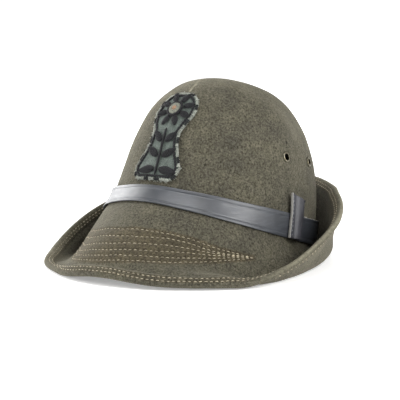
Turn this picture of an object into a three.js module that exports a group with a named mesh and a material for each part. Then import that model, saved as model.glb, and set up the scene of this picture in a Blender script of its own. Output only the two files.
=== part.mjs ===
// An alpine hat of felt: a tall rounded crown, a brim that slopes down as a peak in front and is
// turned up at the sides and back, a leather band, a leather sleeve for a feather, an
// embroidered cloth badge and four vent eyelets.
// Millimetres, +Z up. The front of the hat faces -Y and the wearer's left side is +X.
// The hat is worked out level, in its own frame, and then laid back until it rests on the two
// corners of its peak and on the fold of its turned-up back.
import * as THREE from 'three';

// Driving dimensions
const FELT = 2.5; // thickness of the felt
const CROWN_TOP = 134; // height of the crown above its foot
const APEX_BACK = 5; // the crown's highest point lies this far behind the middle
const BRIM_WIDTH = 75; // from the foot of the crown to the brim's edge
const LAID_BACK = THREE.MathUtils.degToRad(16); // tilt of the resting hat
const REST_HEIGHT = 22.8; // middle of the crown's foot above the floor
const GAP = 0.4; // left between pieces that touch
const CURVE_ROOM = 0.2; // more of it where the flat faces of one piece follow another's curve

const BAND_FOOT = 3; // lower edge of the band, up the wall from the crown's foot
const BAND_HEIGHT = 21;
const BAND_THICKNESS = 1.8;
const BAND_STAND_OFF = 0.6; // how far the band's upper edge stands off the crown
const BAND_JOINT = 90; // where its ends meet, in degrees round from the front
const BAND_SLIT = 0.46; // the gap between them, in degrees
const BAND_ROWS = 4;

const SLEEVE_HEIGHT = 38; // of its front edge
const SLEEVE_SLANT = 5; // how much lower its mouth is at the back
const SLEEVE_STEPS = 7;
const SLEEVE_HALF = 7.5; // half of its width
const SLEEVE_FOLD = 5; // how far its rounded pocket stands out
const SLEEVE_HEM = 2.6; // thickness of its sewn edge
const SLEEVE_WALL = 1.3; // thickness of the leather
const SLEEVE_HEM_TO = -3.4; // the hem runs from the front edge to here; 0 is the sleeve's middle
const SLEEVE_CREST = 3; // where the pocket stands out most
const SLEEVE_CORNER = 1.6; // height of the rounding along the back edge

const VENT_HOLE = 3.7; // radius of the hole in the felt
const VENT_BORE = 2.7; // radius of the eyelet's own hole
const VENT_FLANGE = 4.2; // outer radius of the eyelet's rim
const VENT_WASHER = 4.1; // and of its washer inside the crown
const VENT_SHEET = 0.4; // metal thickness
const VENT_RIM = 0.64; // height of the rolled rim

const CLOTH = 1.2; // thickness of the badge's backing
const CLOTH_LOW = GAP + CURVE_ROOM;
const THREAD_LOW = CLOTH_LOW + CLOTH + GAP;
const THREAD = 1.3; // height of the raised embroidery

const COLUMNS = 60; // round the hat
const ROWS_PER_SECTION = 2; // up the crown, between two sections of its table
const EYELET_SIDES = 16;
const BOSS_SIDES = 20;
const CLOTH_STEPS = 8; // across the badge's cloth
const STEM_STEPS = 8;

// Colours, as sRGB
const FELT_COLOUR = 0x6a6758;
const LEATHER_COLOUR = 0x565a62;
const CLOTH_COLOUR = 0x5d655f;
const THREAD_COLOUR = 0x26262a;
const BOSS_COLOUR = 0x6f6a58;
const METAL_COLOUR = 0xa39c88;

// The crown, section by section: how far its outside reaches in front of the middle, behind it
// and to each side.
const CROWN_SECTIONS = [
  { height: 0, front: 98, back: 105, side: 85 },
  { height: 13, front: 87, back: 107, side: 84 },
  { height: 26, front: 81, back: 107, side: 83 },
  { height: 50, front: 77, back: 106, side: 79 },
  { height: 74, front: 74, back: 101, side: 73 },
  { height: 96, front: 66, back: 88, side: 65 },
  { height: 114, front: 53, back: 70, side: 54 },
  { height: 126, front: 39, back: 52, side: 40 },
  { height: 132, front: 21, back: 32, side: 22 },
];

// The brim, section by section, from the front round to the back. It leaves the crown at the
// angle `root`, keeps it for `straight`, bends over the length `bend` to the angle `wall`, and
// its last part rolls over to the angle `lip`, with 0 level and -90 straight down. `foot` is how
// high the crown's foot lies there.
const BRIM_SECTIONS = [
  { turn: 0, root: -52.5, straight: 36, bend: 32, wall: -80, lip: -80, foot: 9 },
  { turn: 30, root: -65, straight: 35, bend: 33, wall: -39, lip: -78, foot: 6 },
  { turn: 45, root: -67.3, straight: 35.7, bend: 34.1, wall: -3, lip: -48, foot: 3.9 },
  { turn: 54, root: -67.4, straight: 35.5, bend: 34.4, wall: 20, lip: 10, foot: 2.7 },
  { turn: 66, root: -66.5, straight: 32.3, bend: 32.6, wall: 41.5, lip: 30, foot: 1.3 },
  { turn: 90, root: -59, straight: 18, bend: 25, wall: 65, lip: 55, foot: 0 },
  { turn: 120, root: -35.5, straight: 5, bend: 24.5, wall: 99, lip: 43, foot: 2 },
  { turn: 150, root: -9, straight: 5, bend: 20, wall: 95.5, lip: 54, foot: 6 },
  { turn: 180, root: 8, straight: 3, bend: 12.6, wall: 84, lip: 46, foot: 9 },
];
// On the left the rim next to the corner of the peak is bent down more sharply.
const LEFT_RIM = [
  { turn: 30, root: -62, straight: 36, bend: 30, wall: -20, lip: -110, foot: 6 },
  { turn: 45, root: -66, straight: 31.7, bend: 30, wall: 5, lip: -105, foot: 3.9 },
  { turn: 54, root: -67.4, straight: 33.8, bend: 33, wall: 25, lip: -50, foot: 2.7 },
];
const LEFT_SECTIONS = BRIM_SECTIONS.map(
  (section) => LEFT_RIM.find((rim) => rim.turn === section.turn) ?? section,
);
const ROLL = 18; // length of the part next to the brim's edge that rolls over
const FOOT_FADE = 60; // above this height the crown's sections are level

// Soft folds and dents of the worn felt, each along a line on the crown: positive is a ridge.
const FOLDS = [
  { from: [0, -60, 110], to: [0, 8, 134], reach: 9, rise: 1.4 }, // crease over the top
  { from: [38, -55, 98], to: [58, -40, 90], reach: 17, rise: -2.2 }, // dent, left of the front
  { from: [35, -26, 124], to: [68, 12, 94], reach: 12, rise: 1.2 }, // ridge behind that dent
  { from: [-38, -50, 98], to: [-22, -53, 110], reach: 9, rise: 1.3 }, // ridge, right of the front
  { from: [-60, 20, 108], to: [-66, 40, 88], reach: 18, rise: -1.5 }, // dent, right of the back
];

// The welt: the edge of the brim is folded up over itself. Thickness that it adds above and
// below the felt, by the distance from the brim's edge.
const WELT_SECTIONS = [
  { fromEdge: 10, above: 0, below: 0 },
  { fromEdge: 9.3, above: 1.9, below: 0.1 },
  { fromEdge: 7.5, above: 2.7, below: 0.2 },
  { fromEdge: 2.5, above: 2.6, below: 0.2 },
  { fromEdge: 0.6, above: 1.4, below: -0.6 },
];

// The vents, as degrees round from the front and as a share of the way up the crown. There is
// one of each on both sides.
const VENTS = [
  { name: 'front', turn: 85, up: 0.43 },
  { name: 'back', turn: 111, up: 0.445 },
];

// The badge's cloth, row by row up the front of the crown, reaching to both sides of its middle.
const CLOTH_ROWS = [
  { climb: 30, right: 18, left: 14 },
  { climb: 34, right: 24, left: 19 },
  { climb: 43, right: 25, left: 21 },
  { climb: 53, right: 19, left: 17 },
  { climb: 63, right: 15, left: 14 },
  { climb: 73, right: 14, left: 13 },
  { climb: 81, right: 17, left: 16 },
  { climb: 90, right: 19, left: 19 },
  { climb: 100, right: 18, left: 18 },
  { climb: 107, right: 14, left: 14 },
  { climb: 111, right: 9, left: 9 },
];
const BADGE_TURN = -1; // degrees round from the front
const FLOWER_CLIMB = 94; // middle of the flower, up the wall
const BOSS_RADIUS = 6;
const BOSS_RISE = 2.3;
const PETALS = { count: 8, start: 7.4, length: 9.5, width: 7.2 };
const STEM = { low: 34, high: 76, width: 2.2 };
// The leaves, in pairs up the stem; `lean` is measured from straight up.
const LEAVES = [
  { name: 'low', climb: 40, lean: 98, length: 17, width: 9.5 },
  { name: 'middle', climb: 51, lean: 55, length: 14, width: 8.5 },
  { name: 'high', climb: 64, lean: 42, length: 11.5, width: 7.5 },
];
// The outline of a petal or a leaf, as shares of its length and of its width.
const BLADE_SECTIONS = [
  { at: 0, width: 0.25 },
  { at: 0.15, width: 0.75 },
  { at: 0.4, width: 1 },
  { at: 0.7, width: 0.8 },
  { at: 0.9, width: 0.42 },
  { at: 1, width: 0.12 },
];
const BLADE_FACE = 0.8; // width of its face, as a share of the width below
const LEAF_START = 1.2; // from the stem to a leaf

const STRAIGHT_STEPS = 3;
const BEND_STEPS = 6;
const WALL_STEPS = 3;
const FINE_STEPS = 6; // between two rows, where the brim's curve is added up

const radians = THREE.MathUtils.degToRad;
const angleOf = (column) => (column * 2 * Math.PI) / COLUMNS;
const CROWN_ROWS = CROWN_SECTIONS.length * ROWS_PER_SECTION;

// A smooth curve through one column of a table, level at both ends.
function smoothColumn(rows, place, column, at) {
  const last = rows.length - 1;
  let i = 0;
  while (i < last - 1 && at > rows[i + 1][place]) i += 1;
  const slope = (k) => {
    if (k === 0 || k === last) return 0;
    return (rows[k + 1][column] - rows[k - 1][column]) / (rows[k + 1][place] - rows[k - 1][place]);
  };
  const step = rows[i + 1][place] - rows[i][place];
  const t = (at - rows[i][place]) / step;
  const rise = rows[i + 1][column] - rows[i][column];
  const a = slope(i) * step - rise;
  const b = rise - slope(i + 1) * step;
  return rows[i][column] + t * rise + t * (1 - t) * ((1 - t) * a + t * b);
}

// One value of the brim's tables at an angle round the hat.
function brimValue(column, angle) {
  const turn = THREE.MathUtils.radToDeg(Math.atan2(Math.sin(angle), Math.cos(angle)));
  return smoothColumn(turn > 0 ? LEFT_SECTIONS : BRIM_SECTIONS, 'turn', column, Math.abs(turn));
}

function sectionPoint(section, angle) {
  const reach = Math.cos(angle) > 0 ? section.front : section.back;
  const fade = Math.max(0, 1 - section.height / FOOT_FADE);
  return new THREE.Vector3(
    section.side * Math.sin(angle),
    -reach * Math.cos(angle),
    section.height + fade * brimValue('foot', angle),
  );
}

// The curve that runs up the crown at one angle, over the top and down at the opposite angle.
const arches = new Map();
function arch(angle) {
  const key = angle.toFixed(5);
  if (!arches.has(key)) {
    const near = CROWN_SECTIONS.map((section) => sectionPoint(section, angle));
    const far = CROWN_SECTIONS.map((section) => sectionPoint(section, angle + Math.PI));
    const top = new THREE.Vector3(0, APEX_BACK, CROWN_TOP);
    arches.set(key, new THREE.CatmullRomCurve3([...near, top, ...far.reverse()]));
  }
  return arches.get(key);
}

// The outward direction of a surface given as a function of the angle and of the share `up`.
function outward(surface, angle, up) {
  const step = 0.01;
  const round = surface(angle + step, up).sub(surface(angle - step, up));
  const along = surface(angle, up + step).sub(surface(angle, Math.max(0, up - step)));
  return round.cross(along).normalize();
}

const smoothCrown = (angle, up) => arch(angle).getPoint(up / 2);

// How far the folds move a point of the crown outwards.
function foldRise(point) {
  let rise = 0;
  for (const fold of FOLDS) {
    const line = new THREE.Line3(new THREE.Vector3(...fold.from), new THREE.Vector3(...fold.to));
    const away = line.closestPointToPoint(point, true, new THREE.Vector3()).distanceTo(point);
    rise += fold.rise * Math.exp(-((away / fold.reach) ** 2));
  }
  return rise;
}

// A point on the middle of the crown's felt: `up` runs from 0 at the foot to 1 at the top.
function crownPoint(angle, up) {
  const point = smoothCrown(angle, up);
  return point.addScaledVector(outward(smoothCrown, angle, up), foldRise(point));
}

// The share of the way up the crown that lies at a distance up the wall from its foot.
function shareAt(angle, climb) {
  const step = 0.005;
  let length = 0;
  let from = smoothCrown(angle, 0);
  for (let up = step; up < 1; up += step) {
    const to = smoothCrown(angle, up);
    const piece = to.distanceTo(from);
    if (length + piece > climb) return up - step + (step * (climb - length)) / piece;
    length += piece;
    from = to;
  }
  return 1;
}

// A point near the crown's wall: `across` to the wearer's left of the angle `middle`, `climb` up
// the wall and `off` away from the outside of the felt.
function onCrown(middle, across, climb, off) {
  const step = 0.02;
  const up = shareAt(middle, climb);
  const radius = smoothCrown(middle + step, up).distanceTo(smoothCrown(middle - step, up)) / (2 * step);
  const angle = middle + across / radius;
  const there = shareAt(angle, climb);
  const normal = outward(crownPoint, angle, there);
  return crownPoint(angle, there).addScaledVector(normal, FELT / 2 + off);
}

// The middle of the felt along the brim at one angle, from the crown's foot to the edge.
function brimPath(angle) {
  const root = radians(brimValue('root', angle));
  const upright = radians(brimValue('wall', angle));
  const lip = radians(brimValue('lip', angle));
  const straight = brimValue('straight', angle);
  const bend = brimValue('bend', angle);
  const wall = BRIM_WIDTH - WELT_SECTIONS[0].fromEdge;
  const bendEnd = Math.min(straight + bend, wall - WALL_STEPS * 2);

  const stations = [];
  const addStations = (from, to, count) => {
    for (let i = 1; i <= count; i += 1) stations.push(from + ((to - from) * i) / count);
  };
  addStations(0, straight, STRAIGHT_STEPS);
  addStations(straight, bendEnd, BEND_STEPS);
  addStations(bendEnd, wall, WALL_STEPS);
  WELT_SECTIONS.slice(1).forEach((welt) => stations.push(BRIM_WIDTH - welt.fromEdge));
  stations.push(BRIM_WIDTH);

  const out = outward(smoothCrown, angle, 0).setZ(0).normalize();
  const at = crownPoint(angle, 0);
  let from = 0;
  return stations.map((to) => {
    const step = (to - from) / FINE_STEPS;
    for (let i = 0; i < FINE_STEPS; i += 1) {
      const along = from + step * (i + 0.5);
      const bent = THREE.MathUtils.smoothstep(along, straight, straight + bend);
      const rolled = THREE.MathUtils.smoothstep(along, BRIM_WIDTH - ROLL, BRIM_WIDTH);
      const slope = THREE.MathUtils.lerp(THREE.MathUtils.lerp(root, upright, bent), lip, rolled);
      at.addScaledVector(out, step * Math.cos(slope));
      at.z += step * Math.sin(slope);
    }
    from = to;
    return at.clone();
  });
}

// The felt is flattened where the laid-back hat rests on the floor.
const floorUp = new THREE.Vector3(0, -Math.sin(LAID_BACK), Math.cos(LAID_BACK));
function keepAboveFloor(point, clearance) {
  const height = point.dot(floorUp) + REST_HEIGHT;
  if (height < clearance) point.addScaledVector(floorUp, clearance - height);
  return point;
}

// Rings of points: down the outside of the felt to the brim's edge, and back along the inside.
function feltRings() {
  const angles = Array.from({ length: COLUMNS }, (_, column) => angleOf(column));
  const skin = [];
  for (let row = CROWN_ROWS - 1; row >= 0; row -= 1) {
    skin.push(angles.map((angle) => crownPoint(angle, row / CROWN_ROWS)));
  }
  const paths = angles.map(brimPath);
  paths[0].forEach((_, row) => skin.push(paths.map((path) => path[row])));

  const normalAt = (row, column) => {
    const above = skin[Math.max(row - 1, 0)][column];
    const below = skin[Math.min(row + 1, skin.length - 1)][column];
    const left = skin[row][(column + 1) % COLUMNS];
    const right = skin[row][(column + COLUMNS - 1) % COLUMNS];
    return left.clone().sub(right).cross(above.clone().sub(below)).normalize();
  };
  const weltStart = skin.length - WELT_SECTIONS.length - 1;
  const edgeMiddle = (WELT_SECTIONS.at(-1).above - WELT_SECTIONS.at(-1).below) / 2;
  const outside = [];
  const inside = [];
  skin.forEach((ring, row) => {
    const isEdge = row === skin.length - 1;
    const welt = WELT_SECTIONS[row - weltStart] ?? { above: 0, below: 0 };
    const over = isEdge ? edgeMiddle : FELT / 2 + welt.above;
    const under = FELT / 2 + welt.below;
    const lift = (column, off) => ring[column].clone().addScaledVector(normalAt(row, column), off);
    outside.push(ring.map((_, column) => keepAboveFloor(lift(column, over), over + FELT / 2)));
    if (!isEdge) inside.push(ring.map((_, column) => keepAboveFloor(lift(column, -under), 0)));
  });
  return [...outside, ...inside.reverse()];
}

// The nearest row of the felt's grid, counted down the outside, and the nearest column.
function ventPlace(vent) {
  return {
    column: Math.round((vent.angle / (2 * Math.PI)) * COLUMNS + COLUMNS) % COLUMNS,
    row: CROWN_ROWS - 1 - Math.round(vent.up * CROWN_ROWS),
  };
}

const bothSides = (vents) => vents.flatMap((vent) => [
  { ...vent, name: `left_${vent.name}`, angle: radians(vent.turn) },
  { ...vent, name: `right_${vent.name}`, angle: radians(-vent.turn) },
]);

// The felt as one closed skin. At each vent the four faces round the nearest grid point are
// left out on both sides, and a round hole takes their place.
function feltBody() {
  const rings = feltRings();
  const points = rings.flat();
  const faces = [];
  const vents = bothSides(VENTS).map((vent) => ({ ...vent, ...ventPlace(vent) }));
  const isCut = (row, column) => vents.some((vent) => {
    const beside = (column - vent.column + COLUMNS) % COLUMNS;
    const outsideRow = row === vent.row - 1 || row === vent.row;
    const mirrored = rings.length - 1 - vent.row;
    const insideRow = row === mirrored - 1 || row === mirrored;
    return (beside === 0 || beside === COLUMNS - 1) && (outsideRow || insideRow);
  });
  const top = new THREE.Vector3(0, APEX_BACK, CROWN_TOP);
  const topIndex = points.push(top.clone().setZ(CROWN_TOP + FELT / 2)) - 1;
  const underTopIndex = points.push(top.clone().setZ(CROWN_TOP - FELT / 2)) - 1;
  for (let column = 0; column < COLUMNS; column += 1) {
    const next = (column + 1) % COLUMNS;
    faces.push([topIndex, column, next]);
    for (let row = 0; row + 1 < rings.length; row += 1) {
      if (isCut(row, column)) continue;
      const a = row * COLUMNS + column;
      const b = row * COLUMNS + next;
      faces.push([a, a + COLUMNS, b + COLUMNS], [a, b + COLUMNS, b]);
    }
    const last = (rings.length - 1) * COLUMNS;
    faces.push([underTopIndex, last + next, last + column]);
  }

  // Eight grid points go round a vent, anticlockwise from below and seen from outside.
  const around = [[1, 0], [1, 1], [0, 1], [-1, 1], [-1, 0], [-1, -1], [0, -1], [1, -1]];
  for (const vent of vents) {
    const normal = outward(crownPoint, vent.angle, vent.up);
    const centre = crownPoint(vent.angle, vent.up);
    const down = new THREE.Vector3(0, 0, -1).projectOnPlane(normal).normalize();
    const side = normal.clone().cross(down);
    const rim = (off) => around.map((_, k) => {
      const turn = (k * Math.PI) / 4;
      const point = centre.clone().addScaledVector(normal, off);
      point.addScaledVector(down, VENT_HOLE * Math.cos(turn));
      return points.push(point.addScaledVector(side, VENT_HOLE * Math.sin(turn))) - 1;
    });
    const gridIndex = (row, column) => row * COLUMNS + ((column + COLUMNS) % COLUMNS);
    const outerGrid = around.map(([r, c]) => gridIndex(vent.row + r, vent.column + c));
    const innerGrid = around.map(([r, c]) => gridIndex(rings.length - 1 - vent.row - r, vent.column + c));
    const outerRim = rim(FELT / 2);
    const innerRim = rim(-FELT / 2);
    for (let k = 0; k < around.length; k += 1) {
      const n = (k + 1) % around.length;
      faces.push([outerGrid[k], outerGrid[n], outerRim[n]], [outerGrid[k], outerRim[n], outerRim[k]]);
      faces.push([outerRim[k], outerRim[n], innerRim[n]], [outerRim[k], innerRim[n], innerRim[k]]);
      faces.push([innerRim[k], innerRim[n], innerGrid[n]], [innerRim[k], innerGrid[n], innerGrid[k]]);
    }
  }
  return geometryOf(points, faces);
}

function geometryOf(points, faces) {
  const geometry = new THREE.BufferGeometry();
  geometry.setAttribute('position', new THREE.Float32BufferAttribute(points.flatMap((p) => p.toArray()), 3));
  geometry.setIndex(faces.flat());
  return geometry;
}

// A closed sheet between two grids of points with the same rows: `face` on top and `back` below.
function sheetBetween(face, back) {
  const rows = face.length;
  const columns = face[0].length;
  const points = [...face.flat(), ...back.flat()];
  const under = rows * columns;
  const faces = [];
  for (let row = 0; row + 1 < rows; row += 1) {
    for (let column = 0; column + 1 < columns; column += 1) {
      const a = row * columns + column;
      const [b, c, d] = [a + 1, a + columns + 1, a + columns];
      faces.push([a, b, c], [a, c, d], [under + a, under + c, under + b], [under + a, under + d, under + c]);
    }
  }
  const border = [];
  for (let column = 0; column < columns; column += 1) border.push(column);
  for (let row = 1; row < rows; row += 1) border.push(row * columns + columns - 1);
  for (let column = columns - 2; column >= 0; column -= 1) border.push((rows - 1) * columns + column);
  for (let row = rows - 2; row > 0; row -= 1) border.push(row * columns);
  border.forEach((a, k) => {
    const b = border[(k + 1) % border.length];
    faces.push([b, a, under + a], [b, under + a, under + b]);
  });
  return geometryOf(points, faces);
}

// The band: a strip of leather round the foot of the crown whose ends meet under the sleeve.
function hatBand() {
  const joint = radians(BAND_JOINT);
  const halfSlit = radians(BAND_SLIT) / 2;
  const angles = [joint + halfSlit];
  for (let column = 0; column < COLUMNS; column += 1) {
    const angle = joint + halfSlit + angleOf(column);
    const onGrid = angleOf(Math.ceil(angle / angleOf(1)));
    if (onGrid < joint + 2 * Math.PI - 2 * halfSlit) angles.push(onGrid);
  }
  angles.push(joint + 2 * Math.PI - halfSlit);
  const rows = Array.from({ length: BAND_ROWS }, (_, row) => row / (BAND_ROWS - 1));
  const strip = (thickness) => rows.map((share) => angles.map((angle) => {
    const off = GAP + CURVE_ROOM + share * BAND_STAND_OFF + thickness;
    return onCrown(angle, 0, BAND_FOOT + share * BAND_HEIGHT, off);
  }));
  return sheetBetween(strip(BAND_THICKNESS), strip(0));
}

// The sleeve: leather folded into a flat pocket, open at the top and the bottom, with its sewn
// edge to the front. It is drawn level, as a section seen from above, and laid up the wall.
function featherSleeve() {
  const half = SLEEVE_HALF;
  const crest = SLEEVE_CREST;
  const outline = new THREE.Shape();
  outline.moveTo(-half, 0);
  outline.lineTo(half - 0.9, 0);
  outline.quadraticCurveTo(half + 0.1, 0.2, half, SLEEVE_CORNER);
  outline.bezierCurveTo(half - 0.1, SLEEVE_FOLD - 0.6, crest + 2.6, SLEEVE_FOLD, crest, SLEEVE_FOLD);
  outline.bezierCurveTo(0, SLEEVE_FOLD, SLEEVE_HEM_TO + 1.9, SLEEVE_HEM + 0.6, SLEEVE_HEM_TO, SLEEVE_HEM);
  outline.lineTo(-half, SLEEVE_HEM);
  outline.closePath();
  const pocket = new THREE.Path();
  const room = SLEEVE_FOLD - SLEEVE_WALL;
  const pocketFront = SLEEVE_HEM_TO + 1.8;
  const pocketBack = half - SLEEVE_WALL;
  pocket.moveTo(pocketFront, SLEEVE_WALL);
  pocket.bezierCurveTo(pocketFront + 1.6, room - 0.5, crest - 1.4, room, crest, room);
  pocket.bezierCurveTo(crest + 2, room, pocketBack, room - 0.7, pocketBack, SLEEVE_WALL);
  pocket.closePath();
  outline.holes.push(pocket);
  const geometry = new THREE.ExtrudeGeometry(outline, {
    depth: 1, steps: SLEEVE_STEPS, curveSegments: 5, bevelEnabled: false,
  });
  const leaned = BAND_THICKNESS + BAND_STAND_OFF + 2 * (GAP + CURVE_ROOM);
  const middle = radians(BAND_JOINT);
  const lay = (p) => {
    const back = (p.x + SLEEVE_HALF) / (2 * SLEEVE_HALF);
    const height = SLEEVE_HEIGHT - SLEEVE_SLANT * back;
    return onCrown(middle, p.x, BAND_FOOT + p.z * height, leaned + p.y);
  };
  return reshaped(geometry, lay, true);
}

// The geometry with each of its points moved by a function, and with its doubles joined. A
// function that mirrors the shape needs its faces turned over.
function reshaped(geometry, move, turnOver) {
  const source = geometry.index ? geometry.toNonIndexed() : geometry;
  const position = source.getAttribute('position');
  const points = [];
  const known = new Map();
  const corners = [];
  for (let i = 0; i < position.count; i += 1) {
    const point = new THREE.Vector3().fromBufferAttribute(position, i);
    const key = point.toArray().map((value) => value.toFixed(4)).join();
    if (!known.has(key)) known.set(key, points.push(move(point)) - 1);
    corners.push(known.get(key));
  }
  const faces = [];
  for (let i = 0; i < corners.length; i += 3) {
    const [a, b, c] = corners.slice(i, i + 3);
    if (a !== b && b !== c && c !== a) faces.push(turnOver ? [a, c, b] : [a, b, c]);
  }
  return geometryOf(points, faces);
}

// An eyelet: a rolled rim outside, a barrel through the felt and a washer inside.
function eyelet() {
  const outer = FELT / 2 + GAP;
  const profile = [
    [VENT_BORE, -outer - VENT_SHEET],
    [VENT_WASHER, -outer - VENT_SHEET],
    [VENT_WASHER, -outer],
    [VENT_BORE + VENT_SHEET, -outer],
    [VENT_BORE + VENT_SHEET, outer],
    [VENT_FLANGE, outer],
    [VENT_FLANGE, outer + VENT_RIM * 0.4],
    [VENT_FLANGE - VENT_SHEET, outer + VENT_RIM],
    [VENT_BORE + VENT_SHEET, outer + VENT_RIM],
    [VENT_BORE, outer + VENT_RIM / 2],
    [VENT_BORE, -outer - VENT_SHEET],
  ];
  const geometry = new THREE.LatheGeometry(profile.map(([r, y]) => new THREE.Vector2(r, y)), EYELET_SIDES);
  return reshaped(geometry, (point) => point, false);
}

// A grid of points on the badge's face: rows of places across and up, at a distance off the felt.
function onBadge(rows, off) {
  const middle = radians(BADGE_TURN);
  return rows.map((row) => row.map(([across, climb]) => onCrown(middle, across, climb, off)));
}

function badgeCloth() {
  const rows = CLOTH_ROWS.map(({ climb, right, left }) => Array.from(
    { length: CLOTH_STEPS + 1 },
    (_, i) => [-right + ((right + left) * i) / CLOTH_STEPS, climb],
  ));
  return sheetBetween(onBadge(rows, CLOTH_LOW + CLOTH), onBadge(rows, CLOTH_LOW));
}

// A raised shape of thread with pointed ends, from a starting place, in a direction measured
// from straight up. Its sides slope in towards its face.
function threadBlade(start, lean, length, width) {
  const [dx, dy] = [Math.sin(radians(lean)), Math.cos(radians(lean))];
  const rows = (squeeze) => BLADE_SECTIONS.map((section) => [-1, 0, 1].map((side) => {
    const half = (side * section.width * squeeze * width) / 2;
    const along = section.at * length;
    return [start[0] + dx * along + dy * half, start[1] + dy * along - dx * half];
  }));
  return sheetBetween(onBadge(rows(BLADE_FACE), THREAD_LOW + THREAD), onBadge(rows(1), THREAD_LOW));
}

function badgeStem() {
  const rows = Array.from({ length: STEM_STEPS + 1 }, (_, i) => {
    const climb = STEM.low + ((STEM.high - STEM.low) * i) / STEM_STEPS;
    return [-1, 1].map((side) => [(side * STEM.width) / 2, climb]);
  });
  return sheetBetween(onBadge(rows, THREAD_LOW + THREAD), onBadge(rows, THREAD_LOW));
}

// The boss in the middle of the flower: a low dome.
function badgeBoss() {
  const profile = [[0, 0], [BOSS_RADIUS, 0], [BOSS_RADIUS, 0.9], [BOSS_RADIUS * 0.75, 1.9], [0, BOSS_RISE]];
  const geometry = new THREE.LatheGeometry(profile.map(([r, y]) => new THREE.Vector2(r, y)), BOSS_SIDES);
  const middle = radians(BADGE_TURN);
  return reshaped(geometry, (p) => onCrown(middle, p.x, FLOWER_CLIMB + p.z, THREAD_LOW + p.y), true);
}

function piece(name, geometry, color, roughness, metalness = 0) {
  const mesh = new THREE.Mesh(geometry, new THREE.MeshStandardMaterial({ color, roughness, metalness }));
  mesh.name = name;
  return mesh;
}

const hat = new THREE.Group();
hat.rotation.x = -LAID_BACK;
hat.position.z = REST_HEIGHT;
hat.add(piece('felt_body', feltBody(), FELT_COLOUR, 0.95));
hat.add(piece('hat_band', hatBand(), LEATHER_COLOUR, 0.5));
hat.add(piece('feather_sleeve', featherSleeve(), LEATHER_COLOUR, 0.5));

const badge = new THREE.Group();
badge.add(piece('badge_cloth', badgeCloth(), CLOTH_COLOUR, 0.9));
badge.add(piece('badge_boss', badgeBoss(), BOSS_COLOUR, 0.8));
badge.add(piece('badge_stem', badgeStem(), THREAD_COLOUR, 0.7));
for (let i = 0; i < PETALS.count; i += 1) {
  const lean = (360 * (i + 0.5)) / PETALS.count;
  const start = [
    PETALS.start * Math.sin(radians(lean)),
    FLOWER_CLIMB + PETALS.start * Math.cos(radians(lean)),
  ];
  const petal = threadBlade(start, lean, PETALS.length, PETALS.width);
  badge.add(piece(`badge_petal_${i + 1}`, petal, THREAD_COLOUR, 0.7));
}
for (const leaf of LEAVES) {
  for (const [side, sign] of [['left', 1], ['right', -1]]) {
    const start = [sign * (STEM.width / 2 + LEAF_START), leaf.climb];
    const blade = threadBlade(start, sign * leaf.lean, leaf.length, leaf.width);
    badge.add(piece(`badge_leaf_${leaf.name}_${side}`, blade, THREAD_COLOUR, 0.7));
  }
}
hat.add(badge);

for (const vent of bothSides(VENTS)) {
  const mesh = piece(`vent_${vent.name}`, eyelet(), METAL_COLOUR, 0.35, 1);
  mesh.position.copy(crownPoint(vent.angle, vent.up));
  mesh.quaternion.setFromUnitVectors(new THREE.Vector3(0, 1, 0), outward(crownPoint, vent.angle, vent.up));
  hat.add(mesh);
}

// The origin is on the floor, under the middle of the whole hat.
const alpineHat = new THREE.Group();
alpineHat.add(hat);
const extent = new THREE.Box3().setFromObject(alpineHat, true);
hat.position.x -= (extent.min.x + extent.max.x) / 2;
hat.position.y -= (extent.min.y + extent.max.y) / 2;

export default alpineHat;
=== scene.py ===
import math
from functools import partial

import bmesh
import bpy
import numpy as np
from mathutils import Matrix, Vector
from mathutils.bvhtree import BVHTree


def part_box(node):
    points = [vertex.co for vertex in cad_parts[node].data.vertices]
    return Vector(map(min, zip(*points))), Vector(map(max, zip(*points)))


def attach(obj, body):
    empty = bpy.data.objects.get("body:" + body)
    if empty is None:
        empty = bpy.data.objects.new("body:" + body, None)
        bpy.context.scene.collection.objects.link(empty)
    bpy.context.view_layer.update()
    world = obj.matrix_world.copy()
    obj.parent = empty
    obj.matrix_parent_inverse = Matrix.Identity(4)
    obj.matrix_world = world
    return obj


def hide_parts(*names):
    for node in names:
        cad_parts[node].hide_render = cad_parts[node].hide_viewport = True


# The finished look of an alpine hat: felt with a stitched peak and a sewn edge, a leather band,
# a leather sleeve for a feather, an embroidered badge and four eyelets.

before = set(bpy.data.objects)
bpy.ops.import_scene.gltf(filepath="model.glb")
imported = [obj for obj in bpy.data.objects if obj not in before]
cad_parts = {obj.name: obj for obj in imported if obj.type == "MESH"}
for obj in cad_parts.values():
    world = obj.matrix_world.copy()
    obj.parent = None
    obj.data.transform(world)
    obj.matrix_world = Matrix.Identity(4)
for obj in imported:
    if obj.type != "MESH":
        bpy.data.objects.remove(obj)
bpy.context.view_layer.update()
chance = np.random.default_rng(7)

MM = 0.001

# The hat was worked out level, with the middle of its crown's foot at the origin and its front
# facing -Y, and then laid back.
LAID_BACK = math.radians(16)
FOOT_MIDDLE = Vector((0.07 * MM, 1.63 * MM, 22.8 * MM))
HAT = Matrix.Translation(FOOT_MIDDLE) @ Matrix.Rotation(-LAID_BACK, 4, "X")
HAT_TURN = HAT.to_3x3()
HAT_UP = HAT_TURN @ Vector((0, 0, 1))
CROWN_MIDDLE = HAT @ Vector((0, 0, 60 * MM))

# Soft bulges, because felt, leather and cloth are never quite even.
BULGES = {
    "felt": {"spacing": 30 * MM, "rise": 0.9 * MM},
    "band": {"spacing": 24 * MM, "rise": 0.5 * MM},
    "sleeve": {"spacing": 9 * MM, "rise": 0.5 * MM},
    "cloth": {"spacing": 7 * MM, "rise": 0.55 * MM},
}

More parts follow.
